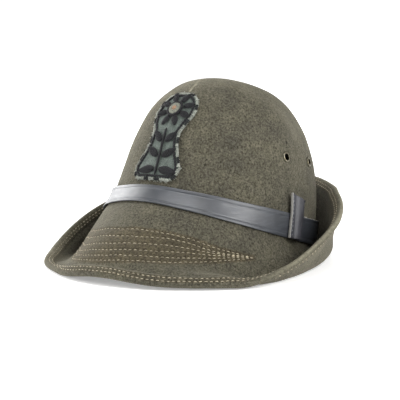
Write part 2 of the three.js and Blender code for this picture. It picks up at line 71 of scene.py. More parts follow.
# Stitching
STITCH_PITCH = 4.3 * MM
STITCH_LENGTH = 2.7 * MM
STITCH_THREAD = 0.62 * MM  # thickness of the thread
STITCH_LIFT = -0.05 * MM  # how far the thread's middle lies above the felt
STITCH_LIFT_BELOW = -0.32 * MM  # and on the brim's under face, where it is pulled in deeper
STITCH_LIFT_SPREAD = 0.07 * MM
STITCH_PITCH_SPREAD = 0.08 * MM
STITCH_SLANT_SPREAD = 0.05

# The rows of stitching on the peak, which run together at both of its ends: how far from the
# brim's edge each of them lies, in millimetres, at angles round from the front.
FAN_SECTIONS = [
    {"turn": -70, "rows": (46, 46, 46, 46, 46, 46)},
    {"turn": -56, "rows": (48, 46.5, 45, 43.5, 42, 41)},
    {"turn": -40, "rows": (49.5, 45, 40.5, 36.5, 33, 30)},
    {"turn": -24, "rows": (50, 42.5, 35, 29, 24, 20)},
    {"turn": -8, "rows": (49.5, 41.5, 33, 26.5, 21, 16.5)},
    {"turn": 0, "rows": (49.7, 41.8, 33.2, 26.5, 21.5, 17)},
    {"turn": 8, "rows": (52.8, 44.5, 37.2, 30, 24.5, 19.5)},
    {"turn": 20, "rows": (55.5, 51, 44.2, 37.5, 31.5, 26)},
    {"turn": 26, "rows": (55.8, 51.5, 46, 40.8, 34.8, 30)},
    {"turn": 32, "rows": (54.8, 50.8, 46.5, 42.8, 38.2, 34.2)},
    {"turn": 38, "rows": (53.8, 49.8, 47.5, 45, 42, 38.5)},
    {"turn": 44, "rows": (53.8, 50.8, 49.8, 48.2, 46, 43.5)},
    {"turn": 50, "rows": (54, 52, 51.5, 50.8, 49.5, 47.5)},
    {"turn": 56, "rows": (53, 52.3, 52, 51.8, 51, 50)},
    {"turn": 62, "rows": (51, 51, 51, 51, 51, 51)},
]
FAN_ROWS = len(FAN_SECTIONS[0]["rows"])
FAN_FROM, FAN_TO = FAN_SECTIONS[0]["turn"], FAN_SECTIONS[-1]["turn"]
EDGE_ROWS = (6.2 * MM, 9.2 * MM)  # distances of the two rows round the brim from its edge


# Modelling


def make_active(piece):
    bpy.ops.object.select_all(action="DESELECT")
    piece.select_set(True)
    bpy.context.view_layer.objects.active = piece


def open_for_edit(piece, action="DESELECT"):
    """Edit mode, with nothing selected, or everything when the action is SELECT."""
    make_active(piece)
    bpy.ops.object.mode_set(mode="EDIT")
    bpy.ops.mesh.select_mode(type="FACE")
    bpy.ops.mesh.select_all(action=action)


def close_edit():
    bpy.ops.object.mode_set(mode="OBJECT")


def select_where(piece, kind, test):
    """Selects the "faces" or "verts", of a piece in edit mode, whose test is true."""
    mesh = bmesh.from_edit_mesh(piece.data)
    for item in getattr(mesh, kind):
        item.select_set(bool(test(item)))
    if kind == "verts":
        mesh.select_flush(True)
    bmesh.update_edit_mesh(piece.data)


def finish_with(piece, kind, **settings):
    """Adds a modifier and applies it."""
    make_active(piece)
    modifier = piece.modifiers.new(kind.lower(), kind)
    for name, value in settings.items():
        setattr(modifier, name, value)
    bpy.ops.object.modifier_apply(modifier=modifier.name)


def subdivide(piece, levels):
    finish_with(piece, "SUBSURF", levels=levels, render_levels=levels)


SAME_CORNER = 0.004 * MM  # corners of a CAD mesh nearer than this are one
QUAD_BEND = math.radians(60)  # two triangles that bend and skew less than this are made one quad
QUAD_SKEW = math.radians(100)


def copy_of_node(node, name):
    """A new piece with a CAD node's shape, merged to one skin and made of quads again."""
    piece = bpy.data.objects.new(name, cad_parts[node].data.copy())
    bpy.context.scene.collection.objects.link(piece)
    piece.data.materials.clear()
    open_for_edit(piece, "SELECT")
    bpy.ops.mesh.remove_doubles(threshold=SAME_CORNER)
    bpy.ops.mesh.customdata_custom_splitnormals_clear()
    bpy.ops.mesh.tris_convert_to_quads(face_threshold=QUAD_BEND, shape_threshold=QUAD_SKEW)
    close_edit()
    bpy.ops.object.shade_smooth()
    return piece


def points_of(piece, what="co"):
    """The places of a piece's vertices, or their directions if asked for "normal"."""
    flat = np.empty(len(piece.data.vertices) * 3)
    piece.data.vertices.foreach_get(what, flat)
    return flat.reshape(-1, 3)


def hat_turns(points):
    """The angle round the level hat of each point, in degrees from the front."""
    level = (points - np.array(FOOT_MIDDLE)) @ np.array(HAT_TURN)
    return np.degrees(np.arctan2(level[:, 0], -level[:, 1]))


def paint(piece, name, values):
    """Stores a value for each vertex, for the piece's material."""
    attribute = piece.data.attributes.new(name, "FLOAT", "POINT")
    attribute.data.foreach_set("value", np.asarray(values, dtype=np.float32))


def new_mesh_piece(name, points, faces):
    """A piece from places and faces, which is turned right side out and shaded smooth."""
    mesh = bpy.data.meshes.new(name)
    mesh.from_pydata([tuple(p) for p in points], [], faces)
    mesh.validate()
    piece = bpy.data.objects.new(name, mesh)
    bpy.context.scene.collection.objects.link(piece)
    open_for_edit(piece, "SELECT")
    bpy.ops.mesh.normals_make_consistent(inside=False)
    close_edit()
    bpy.ops.object.shade_smooth()
    return piece


def skin_of(piece):
    return BVHTree.FromObject(piece, bpy.context.evaluated_depsgraph_get())


LOOK_FROM = 8 * MM  # a ray that looks for a skin starts this far outside it


def drop_on(skin, place, out):
    """The place and normal of a skin under a place near it, seen from outside, or None twice."""
    return skin.ray_cast(place + out * LOOK_FROM, -out)[:2]


def dress(piece, material, slot, *nodes):
    """The piece's material, its slot in the record, which is not used, and the CAD nodes that it
    stands for.
    """
    piece.data.materials.clear()
    piece.data.materials.append(material)
    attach(piece, "root")
    if nodes:
        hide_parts(*nodes)
    return piece


def make_uneven(piece, spacing, rise):
    """Moves the whole piece softly this way and that, without changing its thickness."""
    bulges = bpy.data.textures.new(piece.name + "_bulges", "CLOUDS")
    bulges.noise_scale = spacing
    bulges.cloud_type = "COLOR"
    finish_with(
        piece,
        "DISPLACE",
        texture=bulges,
        texture_coords="LOCAL",
        direction="RGB_TO_XYZ",
        strength=rise,
        mid_level=0.5,
    )


def ball_for_edit(segments, rings, radius, stretch):
    """A ball stretched along its axes, left in edit mode with nothing selected."""
    bpy.ops.object.select_all(action="DESELECT")
    bpy.ops.mesh.primitive_uv_sphere_add(segments=segments, ring_count=rings, radius=radius)
    bpy.ops.object.mode_set(mode="EDIT")
    bpy.ops.transform.resize(value=stretch)
    bpy.ops.mesh.select_mode(type="VERT")
    bpy.ops.mesh.select_all(action="DESELECT")
    return bpy.context.object


def copies_of(model, name, spots):
    """Copies of a modelled piece, joined in one mesh. Each spot is three rows, which turn and
    scale the copy, and its place."""
    template = points_of(model)
    template_faces = [tuple(face.vertices) for face in model.data.polygons]
    bpy.data.objects.remove(model)
    points = [template @ turn + place for turn, place in spots]
    faces = []
    for first in range(0, len(points) * len(template), len(template)):
        faces.extend(tuple(first + v for v in face) for face in template_faces)
    return new_mesh_piece(name, np.concatenate(points), faces)


def heading_at(places, i, closed=False):
    """The direction of a line of places at one of them."""
    if closed:
        return (places[(i + 1) % len(places)] - places[i - 1]).normalized()
    return (places[min(i + 1, len(places) - 1)] - places[max(i - 1, 0)]).normalized()


def turned_to(direction, way):
    """A direction, or its opposite if that points more the given way."""
    return -direction if direction.dot(way) < 0 else direction


def spoke(right, up, turn):
    """A direction turned from one way toward another, square to it."""
    return right * math.cos(turn) + up * math.sin(turn)


def lengths_along(points):
    return np.concatenate([[0], np.cumsum(np.linalg.norm(np.diff(points, axis=0), axis=1))])


def interpolated(at, known_at, rows):
    """Rows of numbers that are known at some distances, at other distances."""
    return np.stack([np.interp(at, known_at, column) for column in rows.T], axis=1)


TUBE_ENDS = 0.55  # how thin a thread is at its two ends


def tubes(name, lines, radius, sides=5):
    """Closed threads of one thickness as a single mesh. Each line is its points and the outward
    direction of what it lies on, or one such direction for each point."""
    points = []
    faces = []
    for line, out in lines:
        first = len(points)
        last = len(line) - 1
        for i, place in enumerate(line):
            ahead = heading_at(line, i)
            side = ahead.cross(out[i] if isinstance(out, list) else out).normalized()
            up = side.cross(ahead)
            thick = radius * (TUBE_ENDS if i in (0, last) else 1)
            for k in range(sides):
                points.append(place + spoke(side, up, 2 * math.pi * k / sides) * thick)
            if i < last:
                here = first + i * sides
                for k in range(sides):
                    n = (k + 1) % sides
                    faces.append((here + k, here + n, here + sides + n, here + sides + k))
        faces.append(tuple(range(first + sides - 1, first - 1, -1)))
        faces.append(tuple(first + last * sides + k for k in range(sides)))
    return new_mesh_piece(name, points, faces)


# The brim, measured on the felt

WALK_ANGLES = 180
WALK_STEP = 0.5 * MM
WALK_LIFT = 0.7 * MM  # each step is taken this far off the felt, so that it gets through a fold
WALK_LEAST = 0.1 * MM  # a shorter step is stuck at a sharp corner and is taken again, less far off
WALK_COUNTED = 0.02 * MM  # a step that stays stuck is counted as this long
WALK_START = HAT @ Vector((0, 5 * MM, 40 * MM))  # a place inside the crown
PAST_SKIN = 0.5 * MM
WALK_LENGTH = 185 * MM
EDGE_SOUGHT_FROM = 95 * MM
EDGE_REACH = 4.5 * MM  # at the felt's edge a walk turns right round within this length each way
EDGE_ALIKE = 0.3  # places that turn almost as sharply as the sharpest one are the edge too
STATION_LOW, STATION_HIGH, STATION_STEP = -60 * MM, 85 * MM, 0.5 * MM
STATIONS = np.arange(STATION_LOW, STATION_HIGH, STATION_STEP)
BATCH = 3000  # points that are measured at a time


def walk_down(skin, turn):
    """Goes down the outside of the crown at an angle round the hat, out over the brim, round its
    edge and back under it. Returns places, normals and the distances from the edge."""
    angle = math.radians(turn)
    outward = HAT_TURN @ Vector((math.sin(angle), -math.cos(angle), 0))
    across = HAT_TURN @ Vector((math.cos(angle), math.sin(angle), 0))
    inner = skin.ray_cast(WALK_START, outward)[0]
    place, normal, _, _ = skin.ray_cast(inner + outward * PAST_SKIN, outward)
    heading = across.cross(normal)
    sense = 1 if heading.dot(HAT_UP) < 0 else -1
    places, normals, headings, lengths = [place], [normal], [heading * sense], [0.0]
    while lengths[-1] < WALK_LENGTH:
        for lift in (WALK_LIFT, 0, -WALK_LIFT):
            ahead = places[-1] + headings[-1] * WALK_STEP + normals[-1] * lift
            place, normal, _, _ = skin.find_nearest(ahead)
            place = place - across * (place - FOOT_MIDDLE).dot(across)
            if (place - places[-1]).length > WALK_LEAST:
                break
        lengths.append(lengths[-1] + max((place - places[-1]).length, WALK_COUNTED))
        places.append(place)
        normals.append(normal)
        headings.append((across.cross(normal) * sense).normalized())
    lengths = np.array(lengths)
    reach = int(EDGE_REACH / WALK_STEP)
    ways = np.array(headings)
    alike = np.ones(len(ways))
    alike[reach:-reach] = (ways[: -2 * reach] * ways[2 * reach :]).sum(axis=1)
    alike[lengths < EDGE_SOUGHT_FROM] = 1
    edge = lengths[alike < alike.min() + EDGE_ALIKE].mean()
    return np.array(places), np.array(normals), edge - lengths


def measure_brim(skin):
    """Places and normals on the brim, for each angle round the hat and each station from the
    edge: stations above 0 are on its upper face and below 0 on its under face."""
    places = np.empty((WALK_ANGLES, len(STATIONS), 3))
    normals = np.empty_like(places)
    for k in range(WALK_ANGLES):
        walk, facing, from_edge = walk_down(skin, 360 * k / WALK_ANGLES)
        order = np.argsort(from_edge)
        places[k] = interpolated(STATIONS, from_edge[order], walk[order])
        normals[k] = interpolated(STATIONS, from_edge[order], facing[order])
    return places, normals


def on_brim(brim, turn, from_edge):
    """The place and normal at an angle in degrees and a distance from the edge."""
    k = (turn % 360) * WALK_ANGLES / 360
    j = (from_edge - STATION_LOW) / STATION_STEP
    k0, j0 = int(k) % WALK_ANGLES, int(j)
    k1 = (k0 + 1) % WALK_ANGLES
    a, b = k - int(k), j - j0

    def blend(values):
        near = values[k0, j0] * (1 - b) + values[k0, j0 + 1] * b
        far = values[k1, j0] * (1 - b) + values[k1, j0 + 1] * b
        return Vector(near * (1 - a) + far * a)

    places, normals = brim
    return blend(places), blend(normals).normalized()


def brim_coordinates(brim, points):
    """For points on the felt: the angle round the hat in degrees, from -180 to 180, the
    distance from the brim's edge and how far the nearest station lies."""
    turn = hat_turns(points)
    k = (turn % 360) * WALK_ANGLES / 360
    k0 = k.astype(int) % WALK_ANGLES
    a = (k - k.astype(int))[:, None, None]
    from_edge = np.empty(len(points))
    away = np.empty(len(points))
    for first in range(0, len(points), BATCH):
        part = slice(first, first + BATCH)
        section = brim[0][k0[part]] * (1 - a[part]) + brim[0][(k0[part] + 1) % WALK_ANGLES] * a[part]
        distance = np.linalg.norm(section - points[part, None, :], axis=2)
        nearest = distance.argmin(axis=1)
        from_edge[part] = STATIONS[nearest]
        away[part] = distance[np.arange(len(nearest)), nearest]
    return turn, from_edge, away


# Stitching


def fan_row(row, turn):
    """Distance from the edge of one row of the peak's stitching at an angle or at many."""
    turns = [section["turn"] for section in FAN_SECTIONS]
    from_edge = [section["rows"][row] for section in FAN_SECTIONS]
    return np.interp(turn, turns, from_edge) * MM


STITCH_FLATNESS = 0.8
STITCH_ENDS_FROM = 0.7 * STITCH_LENGTH / 2
STITCH_DIP = 0.45 * STITCH_THREAD
STITCH_STRAIGHT = 0.4 * STITCH_LENGTH  # a stitch points along this much of its row each way


def model_stitch():
    """One stitch: a short fat length of thread along Z whose ends dip into the felt at -X."""
    stretch = (STITCH_FLATNESS, 1, STITCH_LENGTH / STITCH_THREAD)
    stitch = ball_for_edit(6, 5, STITCH_THREAD / 2, stretch)
    select_where(stitch, "verts", lambda v: abs(v.co.z) > STITCH_ENDS_FROM)
    bpy.ops.transform.translate(value=(-STITCH_DIP, 0, 0))
    close_edit()
    return stitch


def stitch_places(row, pitch):
    """Evenly spaced places along a row given as a list of (place, normal), with directions."""
    places = np.array([place for place, _ in row])
    normals = np.array([normal for _, normal in row])
    length = lengths_along(places)
    count = max(int(length[-1] / pitch), 1)
    at = (np.arange(count) + 0.5) * length[-1] / count
    at = at + chance.normal(0, STITCH_PITCH_SPREAD, count)
    ahead = interpolated(at + STITCH_STRAIGHT, length, places)
    ahead = ahead - interpolated(at - STITCH_STRAIGHT, length, places)
    return zip(interpolated(at, length, places), ahead, interpolated(at, length, normals))


def sew(name, rows, pitch, lift):
    """Copies of the modelled stitch along rows, joined in one mesh."""
    spots = []
    for row in rows:
        for centre, ahead, up in stitch_places(row, pitch):
            ahead = Vector(ahead).normalized()
            up = Vector(up)
            up = (up - ahead * up.dot(ahead)).normalized()
            ahead = ahead + up.cross(ahead) * chance.normal(0, STITCH_SLANT_SPREAD)
            ahead = ahead.normalized()
            height = lift + chance.normal(0, STITCH_LIFT_SPREAD)
            axes = np.array([up, -up.cross(ahead), ahead])
            spots.append((axes, centre + np.array(up) * height))
    return copies_of(model_stitch(), name, spots)


def sew_both_faces(name, brim, turns, rows):
    """Rows of stitches through the brim. Each row is its distances from the edge at the turns."""
    pieces = []
    for part, face, lift in (("", 1, STITCH_LIFT), ("_below", -1, STITCH_LIFT_BELOW)):
        lines = [[on_brim(brim, t, face * d) for t, d in zip(turns, row)] for row in rows]
        pieces.append(sew(name + part, lines, STITCH_PITCH, lift))
    return pieces


def brim_stitching(brim):
    """The rows on the peak and the rows all round the brim's edge."""
    peak = np.arange(FAN_FROM, FAN_TO, 0.5)
    around = np.arange(0, 361, 1.0)
    fan = [fan_row(row, peak) for row in range(FAN_ROWS)]
    edge = [np.full(len(around), distance) for distance in EDGE_ROWS]
    pieces = sew_both_faces("peak_stitching", brim, peak, fan)
    return pieces + sew_both_faces("edge_stitching", brim, around, edge)


# Felt

CHANNEL_DEPTH = 0.5 * MM  # how far a tight row of stitches pulls the felt in
CHANNEL_WIDTH = 1.2 * MM
EDGE_CHANNEL = 0.7  # the share of that depth along the brim's edge
NEAR_BRIM = 1.5 * MM  # felt this near to a measured place of the brim is counted with it
BRIM_TOP = 60 * MM  # the crown begins this far from the brim's edge
PEAK_ROWS_FROM = 14 * MM  # and the peak's rows begin this far from it
FAN_MARGIN = 2.5 * MM  # the felt is browner this far beyond the peak's rows
SEWN_BETWEEN, SEWN_CHANNEL_SHADE = 0.6, 0.7  # how much browner between the rows, and how much painted shade in the channels along them

# The felt is painted darker in the trough between crown and brim, as painted shade. It begins
# over these angles round from the front, on each side, and these distances from the edge.
TROUGH_LEFT = (80, 94)
TROUGH_RIGHT = (54, 68)
TROUGH_EDGE = (11 * MM, 21 * MM)

# Lines on the level hat, in millimetres, where the felt is painted paler, partly as painted light:
# how wide and how much.
PALE_LINES = [
    # a pale line along the crease from the badge up over the crown's front
    {"from": (0, -56, 114), "to": (-1, -47, 122), "width": 1.0, "pale": 1.0},
    {"from": (-1, -47, 122), "to": (-7, -33, 130), "width": 1.3, "pale": 0.8},
    # painted highlight along the crown's left shoulder
    {"from": (36, -26, 123), "to": (68, 12, 95), "width": 7, "pale": 0.25},
    # a pale line on the crown's right front
    {"from": (-38, -50, 98), "to": (-22, -53, 110), "width": 5, "pale": 0.3},
    # painted light over the crown's top
    {"from": (-5, -25, 134), "to": (15, 25, 134), "width": 34, "pale": 0.16},
]
# The very edge is rubbed paler, and more so at the sides and back than round the peak.
EDGE_WORN_WIDTH = 2.2 * MM
EDGE_WORN_TURNS, EDGE_WORN_PALE = (55, 75), (0.1, 0.6)
# The corner of the peak on the hat's right, where the side lights fall, is painted paler: painted
# light.
LIT_CORNER = {"turn": -60, "spread": 11, "reach": 13 * MM, "pale": 0.6}


def ramp(values, span):
    """0 before a span, 1 after it, and straight between."""
    return np.interp(values, span, (0, 1))


def felt_piece():
    felt = copy_of_node("felt_body", "felt")
    subdivide(felt, 2)
    make_uneven(felt, **BULGES["felt"])
    brim = measure_brim(skin_of(felt))

    # The peak is cut finer where its rows of stitches lie on long faces.
    turn, from_edge, away = brim_coordinates(brim, points_of(felt))
    on_peak = (turn > FAN_FROM) & (turn < FAN_TO) & (away < NEAR_BRIM)
    on_peak &= (from_edge > PEAK_ROWS_FROM) & (from_edge < BRIM_TOP)
    open_for_edit(felt)
    select_where(felt, "faces", lambda face: all(on_peak[v.index] for v in face.verts))
    bpy.ops.mesh.subdivide(number_cuts=3, smoothness=0)
    bpy.ops.mesh.vertices_smooth(factor=0.5, repeat=3)
    close_edit()

    points = points_of(felt)
    turn, from_edge, away = brim_coordinates(brim, points)
    near = away < NEAR_BRIM
    inside_fan = near & (turn > FAN_FROM) & (turn < FAN_TO)
    rows = [(fan_row(row, turn), inside_fan) for row in range(FAN_ROWS)]
    rows += [(distance, near * EDGE_CHANNEL) for distance in EDGE_ROWS]
    sink = np.zeros(len(points))
    for line, depth in rows:
        off = (np.abs(from_edge) - line) / CHANNEL_WIDTH
        sink = np.maximum(sink, depth * np.exp(-(off**2)))
    points = points - points_of(felt, "normal") * (sink * CHANNEL_DEPTH)[:, None]
    points[:, 2] = np.maximum(points[:, 2], 0)
    felt.data.vertices.foreach_set("co", points.ravel())
    felt.data.update()

    sewn = inside_fan & (from_edge > fan_row(FAN_ROWS - 1, turn) - FAN_MARGIN)
    sewn &= from_edge < fan_row(0, turn) + FAN_MARGIN
    side = np.where(turn > 0, ramp(turn, TROUGH_LEFT), ramp(-turn, TROUGH_RIGHT))
    trough = near & (from_edge < BRIM_TOP)
    paint(felt, "wear", felt_paleness(points, turn, from_edge, near))
    # Painted shade in the trough between crown and brim.
    paint(felt, "unfaded", trough * side * ramp(from_edge, TROUGH_EDGE))
    # Along the rows this is painted shade in their channels; between them it is a browner tone.
    paint(felt, "sewn", np.maximum(sink * SEWN_CHANNEL_SHADE, sewn * SEWN_BETWEEN))
    return felt, brim


def distance_to_line(points, start, end):
    line = end - start
    share = np.clip((points - start) @ line / (line @ line), 0, 1)
    return np.linalg.norm(points - start - share[:, None] * line, axis=1)


def felt_paleness(points, turn, from_edge, near):
    """For each point of the felt, 1 where it is painted pale and 0 where it isn't: rubbed wear at
    the edge, pale lines, and painted highlight and painted light on the crown and the peak's corner.
    """
    wear = np.zeros(len(points))
    for line in PALE_LINES:
        start = np.array(HAT @ (Vector(line["from"]) * MM))
        end = np.array(HAT @ (Vector(line["to"]) * MM))
        away = distance_to_line(points, start, end) / (line["width"] * MM)
        wear = np.maximum(wear, line["pale"] * np.exp(-(away**2)))
    edge = near * np.exp(-((from_edge / EDGE_WORN_WIDTH) ** 2))
    wear = np.maximum(wear, edge * np.interp(np.abs(turn), EDGE_WORN_TURNS, EDGE_WORN_PALE))
    # Painted light on the peak's right corner.
    off = ((turn - LIT_CORNER["turn"]) / LIT_CORNER["spread"]) ** 2 + (from_edge / LIT_CORNER["reach"]) ** 2
    return np.maximum(wear, near * LIT_CORNER["pale"] * np.exp(-off))


# Leather band

RAW_FROM, RAW_TO = 92, 140  # where the cut edge of the band is bare, in degrees from the front
BAND_OUTER_FACE = 2.25 * MM  # faces further than this off the felt are the band's outside
BAND_EDGE_IN, BAND_EDGE_RISE = 0.5 * MM, 0.12 * MM  # its edges are a little pressed down
BAND_CREASE_IN = 2.9 * MM  # from the band's edges to the line pressed along them
BAND_CREASE_WIDTH = 0.45 * MM
BAND_CREASE_DEPTH = 0.4 * MM


def band_piece(cad_felt):
    band = copy_of_node("hat_band", "band")
    open_for_edit(band)

    def is_outside(face):
        return cad_felt.find_nearest(face.calc_center_median())[3] > BAND_OUTER_FACE

    select_where(band, "faces", is_outside)
    bpy.ops.mesh.inset(thickness=BAND_EDGE_IN, depth=BAND_EDGE_RISE)
    bpy.ops.mesh.inset(thickness=BAND_CREASE_IN - BAND_EDGE_IN, depth=0)
    bpy.ops.mesh.inset(thickness=BAND_CREASE_WIDTH, depth=-BAND_CREASE_DEPTH)
    bpy.ops.mesh.inset(thickness=BAND_CREASE_WIDTH, depth=BAND_CREASE_DEPTH)
    close_edit()
    subdivide(band, 2)
    make_uneven(band, **BULGES["band"])
    turn = hat_turns(points_of(band))
    facing_up = points_of(band, "normal") @ np.array(HAT_UP) > 0.5
    paint(band, "raw", facing_up & (turn > RAW_FROM) & (turn < RAW_TO))
    return band


# Leather sleeve

SLEEVE_VOXEL = 0.42 * MM
SLEEVE_STITCH_IN = 2.3 * MM
SLEEVE_STITCH_PITCH = 3.4 * MM
SLEEVE_STITCH_FROM_ENDS = 1.6 * MM
SLEEVE_RAW = 0.4 * MM  # width of the bare cut edge along the sleeve's front
SLEEVE_RAW_SHARE = 0.32  # how much of the cut edge's pale tone shows
SLEEVE_BIN = 3 * MM  # the front edge is found for each such length of the sleeve
MOUTH_CORNER = 1.5 * MM  # size of the corner of the sleeve's mouth where the knot is
KNOT_BELOW_MOUTH = 1.0 * MM
KNOT_THREAD = 1.5 * MM
KNOT_LOOPS, KNOT_LOOP_STEPS = 3, 12
KNOT_LOOP_RADIUS = 0.9 * MM
KNOT_LOOP_SPACING = 0.7 * MM
KNOT_LOOP_SWAY = 0.25 * MM


def laid_flat(piece):
    """The middle of a flat long piece on the crown, its directions upwards along it, across it
    and outwards, and its points measured along these from the middle. On the sleeve, which is on
    the wearer's left, across is to the back."""
    points = points_of(piece)
    middle = points.mean(axis=0)
    directions = np.linalg.svd(points - middle, full_matrices=False)[2]
    along, _, out = (Vector(direction) for direction in directions)
    along = turned_to(along, HAT_UP)
    out = turned_to(out, Vector(middle) - CROWN_MIDDLE)
    across = along.cross(out)
    return Vector(middle), along, across, out, (points - middle) @ np.array([along, across, out]).T


def sleeve_piece():
    sleeve = copy_of_node("feather_sleeve", "sleeve")
    finish_with(sleeve, "REMESH", mode="VOXEL", voxel_size=SLEEVE_VOXEL)
    finish_with(sleeve, "SMOOTH", factor=0.5, iterations=4)
    make_uneven(sleeve, **BULGES["sleeve"])
    bpy.ops.object.shade_smooth()
    local = laid_flat(sleeve)[-1]
    step = np.round(local[:, 0] / SLEEVE_BIN).astype(int)
    step -= step.min()
    foremost = np.full(step.max() + 1, np.inf)
    np.minimum.at(foremost, step, local[:, 1])
    paint(sleeve, "raw", (local[:, 1] < foremost[step] + SLEEVE_RAW) * SLEEVE_RAW_SHARE)
    return sleeve


def sleeve_stitching(sleeve):
    """The row of stitches that closes the sleeve along its front edge."""
    skin = skin_of(sleeve)
    middle, along, across, out, local = laid_flat(sleeve)
    front = middle + across * (local[:, 1].min() + SLEEVE_STITCH_IN)
    low = local[:, 0].min() + SLEEVE_STITCH_FROM_ENDS
    high = local[:, 0].max() - SLEEVE_STITCH_FROM_ENDS
    row = [drop_on(skin, front + along * at, out) for at in np.linspace(low, high, 60)]
    row = [(place, normal) for place, normal in row if place is not None]
    return sew("sleeve_stitching", [row], SLEEVE_STITCH_PITCH, 0.0)


def sleeve_knot(sleeve):
    """The knotted end of the sewing, at the back of the sleeve's mouth."""
    middle, along, across, out, local = laid_flat(sleeve)
    corner = local[local[:, 1] > local[:, 1].max() - MOUTH_CORNER]
    top = corner[corner[:, 0].argmax()]
    place = middle + along * (top[0] - KNOT_BELOW_MOUTH) + across * top[1] + out * top[2]
    lines = []
    for loop in range(KNOT_LOOPS):
        line = []
        for k in range(KNOT_LOOP_STEPS + 1):
            turn = 2 * math.pi * k / KNOT_LOOP_STEPS + loop
            side = (loop - 1) * KNOT_LOOP_SPACING + KNOT_LOOP_SWAY * math.cos(2 * turn)
            line.append(place + spoke(along, out, turn) * KNOT_LOOP_RADIUS + across * side)
        lines.append((line, across))
    return tubes("sleeve_knot", lines, KNOT_THREAD / 2, 6)


# Badge

CLOTH_OUTER_FACE = 1.2 * MM  # the rim of the cloth's outer face is further than this off the felt
CLOTH_RIM_BEND = math.radians(50)
OVERCAST_PITCH = 1.15 * MM
OVERCAST_THREAD = 0.84 * MM
OVERCAST_REACH, OVERCAST_REACH_SPREAD = 1.9 * MM, 0.3 * MM
OVERCAST_SLANT, OVERCAST_SLANT_SPREAD = 0.25 * MM, 0.2 * MM
OVERCAST_RUN = 5  # stitches in a run of one colour, of which every third is dark
INSIDE_RIM = 1.5 * MM  # the cloth's direction is taken this far inside its rim
FRAY_COUNT = 150
FRAY_THREAD = 0.32 * MM
FRAY_REACH = (0.8 * MM, 2.4 * MM)
FRAY_SWAY_SPREAD = 0.6 * MM
FRAY_FAN = 0.6  # how nearly square to the rim the frayed threads stand
FRAY_ARCH = 0.05 * MM

# The course of a thread at the cloth's rim: how far across the rim and off the cloth it is, in
# millimetres, and the shares that it has covered of its own reach and of its slant.
OVERCAST_COURSE = [
    {"across": -0.15, "reach": 0, "slant": 0, "off": -0.9},
    {"across": -0.35, "reach": 0, "slant": 0, "off": 0.05},
    {"across": 0.5, "reach": 0, "slant": 0.4, "off": 0.42},
    {"across": 0, "reach": 0.8, "slant": 0.8, "off": 0.3},
    {"across": 0, "reach": 1, "slant": 1, "off": -0.15},
]
FRAY_COURSE = [
    {"across": -0.6, "reach": 0, "slant": 0, "off": 0},
    {"across": 0, "reach": 0.35, "slant": 0.2, "off": 0},
    {"across": 0, "reach": 0.7, "slant": 0.6, "off": -0.1},
    {"across": 0, "reach": 1, "slant": 1, "off": -0.3},
]


def cloth_outline(cloth, cad_felt):
    """The rim of the cloth's outer face, in order round it, before the cloth is subdivided."""
    mesh = bmesh.new()
    mesh.from_mesh(cloth.data)
    beside = {}
    for edge in mesh.edges:
        if len(edge.link_faces) != 2 or edge.calc_face_angle() <= CLOTH_RIM_BEND:
            continue
        if all(cad_felt.find_nearest(v.co)[3] > CLOTH_OUTER_FACE for v in edge.verts):
            a, b = edge.verts
            beside.setdefault(a, []).append(b)
            beside.setdefault(b, []).append(a)
    start = next(iter(beside))
    loop = [start]
    before = None
    while len(loop) <= len(beside):
        onward = [v for v in beside[loop[-1]] if v != before]
        if not onward or onward[0] == start:
            break
        before = loop[-1]
        loop.append(onward[0])
    places = [v.co.copy() for v in loop]
    mesh.free()
    return places


def evenly_round(loop, step):
    """Places at even steps round a closed loop."""
    points = np.array([*loop, loop[0]])
    length = lengths_along(points)
    return [Vector(p) for p in interpolated(np.arange(0, length[-1], step), length, points)]


def rim_thread(course, place, across, reach, slant, normal):
    """The places of a short thread that goes over or out from the cloth's rim."""
    line = []
    for at in course:
        along = across * (at["across"] * MM + at["reach"] * reach)
        line.append(place + along + slant * at["slant"] + normal * at["off"] * MM)
    return line


def rim_threads(skin, places):
    """The stitches over the cloth's rim and the threads frayed out of it."""
    middle = sum(places, Vector()) / len(places)
    overcast = []
    for i, place in enumerate(places):
        ahead = heading_at(places, i, closed=True)
        normal = skin.find_nearest(place - (place - middle).normalized() * INSIDE_RIM)[1]
        inward = turned_to(normal.cross(ahead), middle - place)
        reach = OVERCAST_REACH + chance.normal(0, OVERCAST_REACH_SPREAD)
        slant = ahead * chance.normal(OVERCAST_SLANT, OVERCAST_SLANT_SPREAD)
        overcast.append((rim_thread(OVERCAST_COURSE, place, inward, reach, slant, normal), ahead))
    fray = []
    for i in chance.choice(len(places), FRAY_COUNT, replace=True):
        place = places[i]
        ahead = heading_at(places, i, closed=True)
        normal = skin.find_nearest(place)[1]
        outward = (place - middle).normalized()
        outward = (outward - ahead * outward.dot(ahead) * FRAY_FAN).normalized()
        sway = ahead * chance.normal(0, FRAY_SWAY_SPREAD)
        reach = chance.uniform(*FRAY_REACH)
        line = rim_thread(FRAY_COURSE, place, outward, reach, sway, normal)
        line[1] += HAT_UP * FRAY_ARCH
        fray.append((line, normal))
    return overcast, fray


def badge_cloth_pieces(cad_felt):
    """The cloth, the cord laid on it, the pale and the dark stitches over its rim, and its fray."""
    cloth = copy_of_node("badge_cloth", "badge_cloth_woven")
    loop = cloth_outline(cloth, cad_felt)
    subdivide(cloth, 3)
    make_uneven(cloth, **BULGES["cloth"])
    overcast, fray = rim_threads(skin_of(cloth), evenly_round(loop, OVERCAST_PITCH))
    pale = [line for i, line in enumerate(overcast) if i // OVERCAST_RUN % 3]
    dark = [line for i, line in enumerate(overcast) if i // OVERCAST_RUN % 3 == 0]
    return (
        cloth,
        couched_cord(cloth, cad_felt, loop),
        tubes("badge_overcast_pale", pale, OVERCAST_THREAD / 2),
        tubes("badge_overcast_dark", dark, OVERCAST_THREAD / 2),
        tubes("badge_frayed_threads", fray, FRAY_THREAD / 2, 4),
    )


